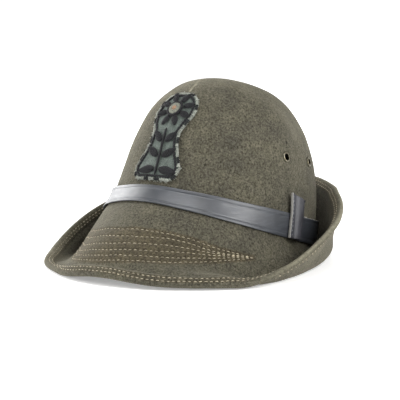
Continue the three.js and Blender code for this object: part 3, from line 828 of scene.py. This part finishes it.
CORD_STEP = 0.8 * MM
CORD_IN = 3.4 * MM  # from the cloth's edge to the cord laid along it
CORD_PLY = 1.3 * MM  # thickness of each of its two plies
CORD_LIFT = 0.4 * CORD_PLY
CORD_PLY_OUT = 0.35 * CORD_PLY  # from the cord's middle to the middle of a ply
CORD_TWIST = 0.9  # radians at each step


def couched_cord(cloth, cad_felt, loop):
    """A black two-ply cord laid on the cloth a little inside its edge."""
    skin = skin_of(cloth)
    places = evenly_round(loop, CORD_STEP)
    middle = sum(places, Vector()) / len(places)
    line = []
    outs = []
    for i, place in enumerate(places):
        out = (cad_felt.find_nearest(place)[1]).normalized()
        inward = turned_to(out.cross(heading_at(places, i, closed=True)), middle - place)
        laid, normal = drop_on(skin, place + inward * CORD_IN, out)
        if laid is not None:
            line.append(laid + normal * CORD_LIFT)
            outs.append(normal)
    line.append(line[0])
    outs.append(outs[0])
    plies = []
    for ply in range(2):
        twisted = []
        for i, place in enumerate(line):
            side = heading_at(line, i).cross(outs[i])
            turn = i * CORD_TWIST + math.pi * ply
            twisted.append(place + spoke(side, outs[i], turn) * CORD_PLY_OUT)
        plies.append((twisted, outs))
    return tubes("badge_couched_cord", plies, CORD_PLY / 2)


SATIN_PITCH = 0.62 * MM
SATIN_THREAD = 0.62 * MM
SATIN_SLANT = 0.35 * MM  # how much further along the shape a thread ends than it begins
SATIN_LIFT = 0.12 * MM
SATIN_DIP = 0.45 * MM  # how far its ends dip into the cloth
SATIN_SHARES = (0.02, 0.2, 0.4, 0.6, 0.8, 0.98)  # places along a thread
SLICE = 0.8 * MM  # a shape's width is measured on its points this near to the thread


def satin_lines(blade):
    """Threads laid across a raised shape, side by side from one end to the other."""
    skin = skin_of(blade)
    middle, along, across, out, local = laid_flat(blade)
    low, high = local[:, 0].min(), local[:, 0].max()
    count = int((high - low) / SATIN_PITCH)
    lines = []
    for i in range(count):
        at = low + (high - low) * (i + 0.5) / count
        near = local[np.abs(local[:, 0] - at) < SLICE, 1]
        if len(near) < 2:
            continue
        line = []
        for share in SATIN_SHARES:
            side = near.min() + (near.max() - near.min()) * share
            start = middle + along * (at + SATIN_SLANT * (share - 0.5)) + across * side
            place, _ = drop_on(skin, start, out)
            if place is not None:
                dip = SATIN_DIP if share in (SATIN_SHARES[0], SATIN_SHARES[-1]) else 0
                line.append(place + out * (SATIN_LIFT - dip))
        if len(line) >= 3:
            lines.append((line, out))
    return lines


def embroidered_pieces():
    """The padding under the threads, one copy of each raised shape, and the threads over all."""
    shapes = [f"badge_petal_{i + 1}" for i in range(8)] + ["badge_stem"]
    for name in ("low", "middle", "high"):
        shapes += [f"badge_leaf_{name}_left", f"badge_leaf_{name}_right"]
    padding = []
    lines = []
    for node in shapes:
        blade = copy_of_node(node, node + "_padding")
        subdivide(blade, 3)
        padding.append((blade, node))
        lines += satin_lines(blade)
    return padding, tubes("badge_satin_threads", lines, SATIN_THREAD / 2)


# Rings of knots on the flower's boss
BOSS_RINGS = [
    {"radius": 0, "count": 1, "thread": "tan"},
    {"radius": 1.5 * MM, "count": 6, "thread": "tan"},
    {"radius": 3.1 * MM, "count": 12, "thread": "grey"},
    {"radius": 4.7 * MM, "count": 18, "thread": "grey"},
]
BOSS_KNOT = 0.85 * MM  # radius of a knot
BOSS_KNOT_FLATNESS = 0.7
BOSS_KNOT_DIMPLE_FROM, BOSS_KNOT_DIMPLE = 0.66 * BOSS_KNOT, 0.4 * BOSS_KNOT
BOSS_KNOT_SPREAD = 0.06
BOSS_CORD_RADIUS = 6.8 * MM
BOSS_CORD_PLY_OUT = 0.62 * MM  # from the cord's middle to the middle of a ply
BOSS_CORD_PLY = 2.3 * BOSS_CORD_PLY_OUT
BOSS_CORD_LIFT = 0.6 * BOSS_CORD_PLY_OUT
BOSS_CORD_TWISTS, BOSS_CORD_STEPS = 12, 96


def boss_pieces():
    """The flower's boss: rings of small knots on a dome, inside a ring of twisted cord."""
    dome = copy_of_node("badge_boss", "badge_boss_padding")
    subdivide(dome, 2)
    skin = skin_of(dome)
    low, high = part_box("badge_boss")
    middle = (low + high) / 2
    out = skin.find_nearest(middle + (middle - CROWN_MIDDLE).normalized() * LOOK_FROM)[1]
    across = out.cross(HAT_UP).normalized()
    up = across.cross(out)
    knots = {"grey": [], "tan": []}
    for number, ring in enumerate(BOSS_RINGS):
        for k in range(ring["count"]):
            turn = 2 * math.pi * (k + 0.5 * (number % 2)) / ring["count"]
            place, normal = drop_on(skin, middle + spoke(across, up, turn) * ring["radius"], out)
            if place is not None:
                knots[ring["thread"]].append((place, normal))
    cord = []
    for ply in range(2):
        line = []
        for k in range(BOSS_CORD_STEPS + 1):
            turn = 2 * math.pi * k / BOSS_CORD_STEPS
            outward = spoke(across, up, turn)
            place = middle + outward * BOSS_CORD_RADIUS + out * BOSS_CORD_LIFT
            twist = turn * BOSS_CORD_TWISTS + math.pi * ply
            line.append(place + spoke(outward, out, twist) * BOSS_CORD_PLY_OUT)
        cord.append((line, out))
    return dome, knots, tubes("badge_boss_cord", cord, BOSS_CORD_PLY / 2)


def knotted(name, knots):
    """Knots: small flattened balls with a dimple where their thread goes down."""
    knot = ball_for_edit(8, 6, BOSS_KNOT, (1, 1, BOSS_KNOT_FLATNESS))
    select_where(knot, "verts", lambda v: v.co.z > BOSS_KNOT_DIMPLE_FROM)
    bpy.ops.transform.translate(value=(0, 0, -BOSS_KNOT_DIMPLE))
    close_edit()
    spots = []
    for place, normal in knots:
        turn = Vector((0, 0, 1)).rotation_difference(normal).to_matrix()
        spin = Matrix.Rotation(chance.uniform(0, math.pi), 3, "Z")
        scale = 1 + chance.normal(0, BOSS_KNOT_SPREAD)
        spots.append((np.array(turn @ spin).T * scale, np.array(place)))
    return copies_of(knot, name, spots)


# Eyelets

EYELET_BORE = 2.95 * MM  # inside this radius the metal is painted near black: painted shade in the barrel


def paint_bore_shade(eyelet):
    """An attribute that is 1 on the inside of the eyelet's barrel, where the metal is painted near
    black as shade.
    """
    off = points_of(eyelet)
    off -= off.mean(axis=0)
    axes = np.linalg.svd(off, full_matrices=False)[2]
    barrel = min(axes, key=lambda axis: np.ptp(off @ axis))
    radius = np.linalg.norm(off - np.outer(off @ barrel, barrel), axis=1)
    paint(eyelet, "bore", radius < EYELET_BORE)


# Materials


def linear(colour):
    """An sRGB colour, as six hex digits, in linear light."""

    def channel(shift):
        value = ((colour >> shift) & 255) / 255
        return value / 12.92 if value <= 0.04045 else ((value + 0.055) / 1.055) ** 2.4

    return (channel(16), channel(8), channel(0), 1.0)


def add_node(tree, kind, inputs=(), out=None, **settings):
    """Adds a node with its settings, and sets or links its inputs: those in use in order, or
    those that a dict names. Returns the output named `out`, or the first in use."""
    node = tree.nodes.new("ShaderNode" + kind)
    for name, value in settings.items():
        setattr(node, name, value)
    if isinstance(inputs, dict):
        filled = [(node.inputs[name], value) for name, value in inputs.items()]
    else:
        filled = zip([socket for socket in node.inputs if socket.enabled], inputs)
    for socket, value in filled:
        if isinstance(value, bpy.types.NodeSocket):
            tree.links.new(value, socket)
        else:
            socket.default_value = value
    return node.outputs[out] if out else next((s for s in node.outputs if s.enabled), None)


def new_material(name):
    """A material, the function that adds its nodes, and the places on the piece that wears it."""
    material = bpy.data.materials.new(name)
    material.use_nodes = True
    material.node_tree.nodes.clear()
    add = partial(add_node, material.node_tree)
    return material, add, add("TexCoord", out="Object")


def layered(add, colour, layers):
    """A colour with others laid over it. A layer is its colour, the pattern that shows it, the
    stretch of the pattern over which it comes, and the least and the most of it that shows."""
    for over, *extent in layers:
        colour = add("Mix", (add("MapRange", extent), colour, linear(over)), data_type="RGBA")
    return colour


def shaded(material, add, looks):
    """The material, ended with its shader. Looks are what its sockets are set or linked to."""
    add("OutputMaterial", (add("BsdfPrincipled", looks),))
    return material


PINHOLE = Vector((71.1, -4, 84.1)) * MM  # a pin's hole above the eyelets, on the level hat, drawn as a painted dark spot: painted shade in the hole
PINHOLE_RADIUS = 1.0 * MM
TUFT_WIDTH, TUFT_LENGTH = 0.7 * MM, 2.45 * MM
TUFT_TURNS = ((0.3, 0.5, 0.2), (1.3, 0.2, 0.9), (0.6, 1.2, 2.1), (2.2, 0.8, 1.4))
# The trough's tint is painted shade. The sewn tint is painted shade in the channels along the peak's
# rows and a browner tone between them.
FELT_TINTS = (("sewn", 0xDCCBB4), ("unfaded", 0x9E9A90))  # painted places and what tints them


def wool_felt(felt):
    """Wool felt, fulled and pressed, dyed grey-green in the wool: matted fibres of many greens
    and greys, some pale, all ways round, so that it looks speckled, soft and without gloss.
    Single fibres are 0.03 mm thick and are drawn as tufts of 0.7 mm so that they show."""
    material, add, place = new_material("wool_felt")
    tuft_scale = (1 / TUFT_WIDTH, 1 / TUFT_WIDTH, 1 / TUFT_LENGTH)
    fibres = 0.0
    for turn in TUFT_TURNS:
        laid = add("Mapping", (place, (0, 0, 0), turn, tuft_scale))
        fibres = add("Math", (fibres, add("TexNoise", (laid, 1.0, 2.0, 0.6))), operation="MAXIMUM")
    speckle = add("TexNoise", (place, 1 / (1.7 * MM), 3.0, 0.75))
    clump = add("TexNoise", (place, 1 / (4.5 * MM), 3.0))
    cloud = add("TexNoise", (place, 1 / (12 * MM), 3.0))
    patch = add("TexNoise", (place, 1 / (38 * MM), 2.0))
    dyed = [
        (0x6C685D, speckle, 0.32, 0.68),
        (0x38372D, clump, 0.35, 0.65, 0.15, 0.45),
        (0x8E8A78, fibres, 0.66, 0.82, 0.0, 0.45),
    ]
    tone = layered(add, linear(0x11100A), dyed)
    shade = layered(add, linear(0xD2D2D0), [(0xFFFEF4, add("Math", (patch, cloud)), 0.7, 1.3)])
    tone = add("Mix", (1.0, tone, shade), data_type="RGBA", blend_type="MULTIPLY")
    for name, tint in FELT_TINTS:
        share = add("Attribute", out="Fac", attribute_name=name)
        tone = add("Mix", (share, tone, linear(tint)), data_type="RGBA", blend_type="MULTIPLY")
    # This attribute paints the felt paler: real wear at the brim's edge, and painted highlight and
    # painted light on the crown and the peak's corner.
    wear = add("Attribute", out="Fac", attribute_name="wear")
    broken = add("MapRange", (clump, 0.3, 0.7, 0.4, 1.0))
    pin = skin_of(felt).find_nearest(HAT @ PINHOLE)[0]
    away = add("VectorMath", (place, pin), operation="DISTANCE")
    pale_and_dark_marks = [
        (0x8B8775, add("Math", (wear, broken), operation="MULTIPLY")),
        # Painted shade where the pin's hole is.
        (0x0A0A08, away, PINHOLE_RADIUS, PINHOLE_RADIUS * 1.6, 1.0, 0.0),
    ]
    height = add("Math", (clump, 1.5, speckle), operation="MULTIPLY_ADD")
    height = add("Math", (height, fibres))
    looks = {
        "Base Color": layered(add, tone, pale_and_dark_marks),
        "Roughness": 0.95,
        "Specular IOR Level": 0.15,
        "Sheen Weight": 0.18,
        "Sheen Roughness": 0.45,
        "Sheen Tint": linear(0xDAD4BE),
        "Normal": add("Bump", {"Height": height, "Distance": 0.35 * MM, "Strength": 0.8}),
    }
    return shaded(material, add, looks)


def calf_leather(name, deep, worn, streaked, smooth):
    """Smooth calf leather, dyed, plated and polished: a fine pebble grain that is almost pressed
    flat, a satin gloss, and stretch lines along it. `smooth` is the roughness of its glossiest
    and of its dullest places."""
    material, add, place = new_material(name)
    streak_scale = (1 / (13.2 * MM), 1 / (13.2 * MM), 1 / (2.2 * MM))
    laid = add("Mapping", (place, (0, 0, 0), (0.28, 0, 0), streak_scale))
    streak = add("TexNoise", (laid, 1.0, 3.0))
    pebble = add("TexNoise", (place, 1 / (0.7 * MM), 2.0))
    cloud = add("TexNoise", (place, 1 / (17 * MM), 3.0))
    raw = add("Attribute", out="Fac", attribute_name="raw")
    layers = [(worn, cloud, 0.3, 0.7), (streaked, streak, 0.5, 0.75, 0.0, 0.45), (0xC9C6BC, raw)]
    height = add("Math", (pebble, 0.5, streak), operation="MULTIPLY_ADD")
    looks = {
        "Base Color": layered(add, linear(deep), layers),
        "Roughness": add("MapRange", (streak, 0.3, 0.7, *smooth)),
        "Specular IOR Level": 0.6,
        "Normal": add("Bump", {"Height": height, "Distance": 0.1 * MM, "Strength": 0.6}),
    }
    return shaded(material, add, looks)


def sewing_thread():
    """Waxed linen thread, undyed: pale tan, a little dirty, with a dull sheen."""
    material, add, place = new_material("linen_thread")
    dirt = add("TexNoise", (place, 1 / (5 * MM), 3.0))
    ply = add("TexNoise", (place, 1 / (0.3 * MM), 1.0))
    looks = {
        "Base Color": layered(add, linear(0x6E6554), [(0xB3A98F, dirt, 0.3, 0.7)]),
        "Roughness": 0.7,
        "Normal": add("Bump", {"Height": ply, "Distance": 0.1 * MM}),
    }
    return shaded(material, add, looks)


def dyed_thread(name, first, second, roughness, sheen=0.25):
    """Twisted cotton thread, dyed: two close shades from strand to strand and a soft gloss."""
    material, add, place = new_material(name)
    strand = add("TexNoise", (place, 1 / (1.6 * MM), 3.0))
    ply = add("TexNoise", (place, 1 / (0.25 * MM), 1.0))
    looks = {
        "Base Color": layered(add, linear(first), [(second, strand, 0.35, 0.65)]),
        "Roughness": roughness,
        "Specular IOR Level": 0.3,
        "Sheen Weight": sheen,
        "Normal": add("Bump", {"Height": ply, "Distance": 0.08 * MM}),
    }
    return shaded(material, add, looks)


WEAVE_PITCH = 1.776 * MM
WAVE_PITCH = 2 * math.pi / 20  # of a Wave texture's bands at scale 1


def woollen_cloth():
    """Woollen cloth, woven and milled, grey-green and faded. Its threads are 0.5 mm apart and are
    drawn 1.8 mm apart both ways so that they show."""
    material, add, place = new_material("woollen_cloth")
    turned = add("Mapping", (place, (0, 0, 0), (-0.6, 0, 0)))
    weave = 1.0
    for direction in ("X", "Z"):
        inputs = (turned, WAVE_PITCH / WEAVE_PITCH, 0.6)
        threads = add("TexWave", inputs, out="Fac", bands_direction=direction)
        weave = add("Math", (weave, threads), operation="MULTIPLY")
    fade = add("TexNoise", (place, 1 / (6 * MM), 4.0, 0.65))
    fleck = add("TexNoise", (place, 1 / (0.8 * MM), 2.0))
    layers = [(0x505953, fade, 0.3, 0.7), (0x70786F, fleck, 0.45, 0.7, 0.0, 0.5)]
    height = add("Math", (weave, fleck))
    looks = {
        "Base Color": layered(add, linear(0x28302D), layers),
        "Roughness": 0.95,
        "Sheen Weight": 0.1,
        "Normal": add("Bump", {"Height": height, "Distance": 0.3 * MM, "Strength": 0.8}),
    }
    return shaded(material, add, looks)


def nickelled_brass():
    """Brass, stamped and nickel-plated, with the plating dull and worn through at the edges."""
    material, add, place = new_material("nickelled_brass")
    tarnish = add("TexNoise", (place, 1 / (1.6 * MM), 4.0))
    bore = add("Attribute", out="Fac", attribute_name="bore")
    # The inside of the barrel is painted near black: painted shade.
    layers = [(0x6E6347, tarnish, 0.4, 0.7), (0x16150F, bore)]
    looks = {
        "Base Color": layered(add, linear(0x9A9686), layers),
        "Metallic": 1.0,
        "Roughness": add("MapRange", (tarnish, 0.3, 0.7, 0.28, 0.5)),
        "Normal": add("Bump", {"Height": tarnish, "Distance": 0.05 * MM}),
    }
    return shaded(material, add, looks)


FLOOR_GLOW = (0.32, 0.95)  # light given by the floor near the hat and far from it
GLOW_FROM, GLOW_TO = 0.3, 1.1  # distances from the hat, in metres


def glowing_card():
    """Matt white card that glows though it is no lamp, as painted light: nearly even white, brighter
    away from the hat, and only a little mottled."""
    material, add, place = new_material("white_card")
    mottle = add("TexNoise", (place, 1 / (60 * MM), 3.0))
    away = add("VectorMath", (place,), operation="LENGTH")
    glow = (away, GLOW_FROM, GLOW_TO, *FLOOR_GLOW)
    looks = {
        "Base Color": layered(add, linear(0xF4F4F3), [(0xF8F8F7, mottle)]),
        "Roughness": 0.9,
        "Specular IOR Level": 0.1,
        "Emission Color": linear(0xFFFFFF),
        "Emission Strength": add("MapRange", glow, interpolation_type="SMOOTHSTEP"),
    }
    return shaded(material, add, looks)


# Making the hat

band_leather = calf_leather("blue_black_calf", 0x27292D, 0x33363B, 0x45484D, (0.36, 0.48))
sleeve_leather = calf_leather("plum_black_calf", 0x232327, 0x2D2D33, 0x3C3D43, (0.5, 0.62))
linen = sewing_thread()
black_thread = dyed_thread("black_embroidery_thread", 0x08080A, 0x131317, 0.75, 0.03)
pale_thread = dyed_thread("pale_grey_thread", 0x686C64, 0x93968C, 0.8)
grey_thread = dyed_thread("grey_green_thread", 0x55584E, 0x77796C, 0.75)
tan_thread = dyed_thread("tan_thread", 0x6B4D36, 0x8F6E52, 0.7)
sleeve_thread = dyed_thread("slate_thread", 0x5C6066, 0x82858A, 0.7)
metal = nickelled_brass()

cad_felt = skin_of(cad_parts["felt_body"])
felt, brim = felt_piece()
dress(felt, wool_felt(felt), "felt", "felt_body")
for rows in brim_stitching(brim):
    dress(rows, linen, "thread")

dress(band_piece(cad_felt), band_leather, "leather", "hat_band")
sleeve = sleeve_piece()
dress(sleeve, sleeve_leather, "leather", "feather_sleeve")
dress(sleeve_stitching(sleeve), sleeve_thread, "thread")
dress(sleeve_knot(sleeve), black_thread, "thread")

cloth, laid_cord, overcast_pale, overcast_dark, frayed = badge_cloth_pieces(cad_felt)
dress(cloth, woollen_cloth(), "badge_cloth", "badge_cloth")
dress(laid_cord, black_thread, "thread")
dress(overcast_pale, pale_thread, "badge_cloth")
dress(overcast_dark, black_thread, "thread")
dress(frayed, pale_thread, "badge_cloth")
padding, satin = embroidered_pieces()
for blade, node in padding:
    dress(blade, black_thread, "thread", node)
dress(satin, black_thread, "thread")
dome, knots, cord = boss_pieces()
dress(dome, grey_thread, "boss_thread", "badge_boss")
dress(knotted("badge_boss_knots_grey", knots["grey"]), grey_thread, "boss_thread")
dress(knotted("badge_boss_knots_tan", knots["tan"]), tan_thread, "boss_thread")
dress(cord, black_thread, "thread")

for side in ("left", "right"):
    for place in ("front", "back"):
        node = f"vent_{side}_{place}"
        eyelet = copy_of_node(node, f"eyelet_{side}_{place}")
        subdivide(eyelet, 2)
        paint_bore_shade(eyelet)
        dress(eyelet, metal, "eyelet_metal", node)


# Floor, light and camera

FLOOR_SIZE = 14.0
SOFTBOX_SIDE = 1.0
SOFTBOX_DISTANCE = 1.5
SOFTBOX_AIM = Vector((0, 0, 80 * MM))  # the place that they face

# Softboxes, at angles round from the hat's front and above its foot
SOFTBOXES = [
    {"name": "left_softbox", "turn": -50, "rise": 12, "power": 25},
    {"name": "left_back_softbox", "turn": -100, "rise": 22, "power": 22},
    {"name": "right_softbox", "turn": 80, "rise": 25, "power": 28.5},
    {"name": "high_softbox", "turn": 37, "rise": 55, "power": 2},
    {"name": "top_softbox", "turn": 30, "rise": 84, "power": 17},
]
ROOM_BRIGHT, ROOM_DIM = 0.95, 0.12  # light from the room below and above its horizon
HORIZON_LOW, HORIZON_HIGH = 0.1, 0.16

PHOTO_SIDE = 400
PHOTO_SCALE = 1150  # pixels to a metre at the hat
FOOT_IN_PHOTO = (206.23, 233.64)  # where the middle of the crown's foot is seen
CAMERA_TURN, CAMERA_RISE = 36.89, 9.36
CAMERA_DISTANCE = 1.5
CAMERA_ROLL = math.radians(-0.6)
SENSOR = 36.0


def lay_floor():
    bpy.ops.object.select_all(action="DESELECT")
    bpy.ops.mesh.primitive_plane_add(size=FLOOR_SIZE, location=(0, 0, 0))
    floor = bpy.context.object
    floor.name = "floor"
    floor.data.materials.append(glowing_card())


def direction_at(turn, rise):
    """The direction at an angle round from the hat's front and an angle up, in degrees."""
    a, e = math.radians(turn), math.radians(rise)
    return Vector((math.sin(a) * math.cos(e), -math.cos(a) * math.cos(e), math.sin(e)))


def stand(name, data, place, turn):
    """A light or a camera in the scene, at a place and turned by a quaternion."""
    thing = bpy.data.objects.new(name, data)
    bpy.context.scene.collection.objects.link(thing)
    thing.location = place
    thing.rotation_mode = "QUATERNION"
    thing.rotation_quaternion = turn
    return thing


def hang_light(name, turn, rise, power):
    """A square softbox facing the hat."""
    lamp = bpy.data.lights.new(name, "AREA")
    lamp.size = SOFTBOX_SIDE
    lamp.energy = power
    back = direction_at(turn, rise)
    stand(name, lamp, SOFTBOX_AIM + back * SOFTBOX_DISTANCE, (-back).to_track_quat("-Z", "Y"))


def set_camera():
    back = direction_at(CAMERA_TURN, CAMERA_RISE)
    right = Vector((0, 0, 1)).cross(back).normalized()
    up = back.cross(right)
    middle = PHOTO_SIDE / 2
    aim = FOOT_MIDDLE - right * (FOOT_IN_PHOTO[0] - middle) / PHOTO_SCALE
    aim = aim + up * (FOOT_IN_PHOTO[1] - middle) / PHOTO_SCALE
    place = FOOT_MIDDLE + back * CAMERA_DISTANCE
    lens = bpy.data.cameras.new("camera")
    lens.sensor_width = SENSOR
    lens.lens = SENSOR * PHOTO_SCALE * CAMERA_DISTANCE / PHOTO_SIDE
    roll = Matrix.Rotation(CAMERA_ROLL, 3, "Z").to_quaternion()
    look = (aim - place).to_track_quat("-Z", "Y") @ roll
    bpy.context.scene.camera = stand("camera", lens, place, look)


def make_surroundings():
    """A dim room whose horizon is white: the light is bright up to a low height and dim above."""
    world = bpy.data.worlds.new("studio")
    world.use_nodes = True
    tree = world.node_tree
    direction = add_node(tree, "TexCoord", out="Generated")
    height = add_node(tree, "SeparateXYZ", (direction,), out="Z")
    light = (height, HORIZON_LOW, HORIZON_HIGH, ROOM_BRIGHT, ROOM_DIM)
    background = tree.nodes["Background"]
    background.inputs["Color"].default_value = linear(0xFFFFFF)
    tree.links.new(add_node(tree, "MapRange", light), background.inputs["Strength"])
    bpy.context.scene.world = world


lay_floor()
for softbox in SOFTBOXES:
    hang_light(**softbox)
make_surroundings()
bpy.context.scene.view_settings.view_transform = "Standard"
set_camera()
